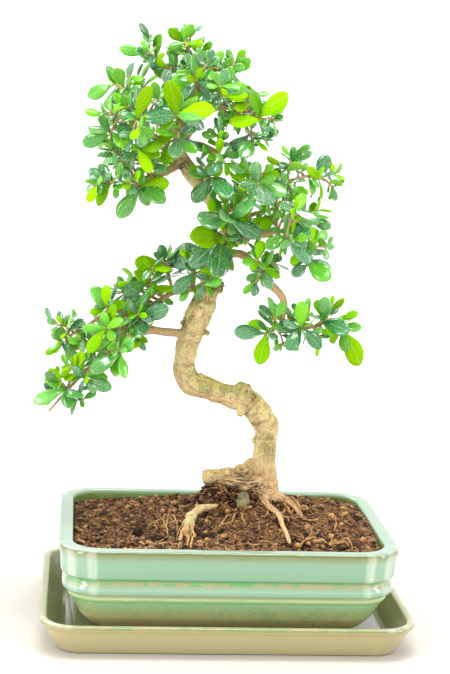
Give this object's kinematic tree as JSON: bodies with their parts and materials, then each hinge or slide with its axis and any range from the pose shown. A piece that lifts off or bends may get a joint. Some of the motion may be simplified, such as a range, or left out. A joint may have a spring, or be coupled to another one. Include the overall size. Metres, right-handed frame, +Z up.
{
  "type": "fukien tea bonsai",
  "caption": "Fukien tea bonsai with a twice-bent trunk and small glossy leaves, in a celadon glazed rectangular pot on its drip tray.",
  "frame": {"origin": "centre of the drip tray's flat underside", "axes": "+Z up; +X to the right along the long side of the pot and tray; -Y towards the front, where the sheared branch and the open claw root show"},
  "size_m": [0.25, 0.18, 0.397],
  "materials": {
    "tray_glaze": "glossy khaki glaze with green specks",
    "pot_glaze": "glossy celadon glaze that breaks to olive towards the foot",
    "screen": "matt black",
    "soil": "moist fibrous peat",
    "bark": "smooth dry bark with fine lengthwise fibres",
    "leaf": "glossy living leaf",
    "clay_pellet": "matt fired clay",
    "peat": "moist peat",
    "stone": "dull river stone"
  },
  "bodies": {
    "root": {"drip_tray": "tray_glaze", "pot": "pot_glaze", "drain_screen_left": "screen", "drain_screen_right": "screen", "soil": "soil", "tree_wood": "bark", "pellet_front_left": "clay_pellet", "pellet_right": "clay_pellet", "peat_lump_left": "peat", "stone": "stone", "spray_crown_back_end": "leaf", "spray_crown_back_high": "leaf", "spray_crown_back_left_end": "leaf", "spray_crown_back_low": "leaf", "spray_crown_back_right_end": "leaf", "spray_crown_front_left": "leaf", "spray_crown_front_low": "leaf", "spray_crown_front_mid": "leaf", "spray_crown_inner_end": "leaf", "spray_crown_left_end": "leaf", "spray_crown_left_high": "leaf", "spray_crown_low_back": "leaf", "spray_crown_low_droop": "leaf", "spray_crown_low_front": "leaf", "spray_crown_low_tip": "leaf", "spray_crown_right_end": "leaf", "spray_crown_right_high": "leaf", "spray_crown_right_low": "leaf", "spray_crown_top": "leaf", "spray_crown_top_left": "leaf", "spray_crown_top_right": "leaf", "spray_crown_young": "leaf", "spray_left_back": "leaf", "spray_left_high_end": "leaf", "spray_left_high_top": "leaf", "spray_left_low_back": "leaf", "spray_left_low_end": "leaf", "spray_left_low_front": "leaf", "spray_left_low_mid": "leaf", "spray_left_low_tip": "leaf", "spray_left_near": "leaf", "spray_left_rise_end": "leaf", "spray_left_rise_mid": "leaf", "spray_left_rise_top": "leaf", "spray_middle_back_end": "leaf", "spray_middle_back_high": "leaf", "spray_middle_back_low": "leaf", "spray_middle_collar": "leaf", "spray_middle_front": "leaf", "spray_middle_low_end": "leaf", "spray_middle_low_front": "leaf", "spray_middle_low_hang": "leaf", "spray_middle_low_tip": "leaf", "spray_middle_near": "leaf", "spray_middle_tip": "leaf", "spray_middle_top": "leaf", "spray_right_end": "leaf", "spray_right_mid": "leaf", "spray_right_near": "leaf", "spray_stem_front": "leaf"}
  },
  "joints": []
}
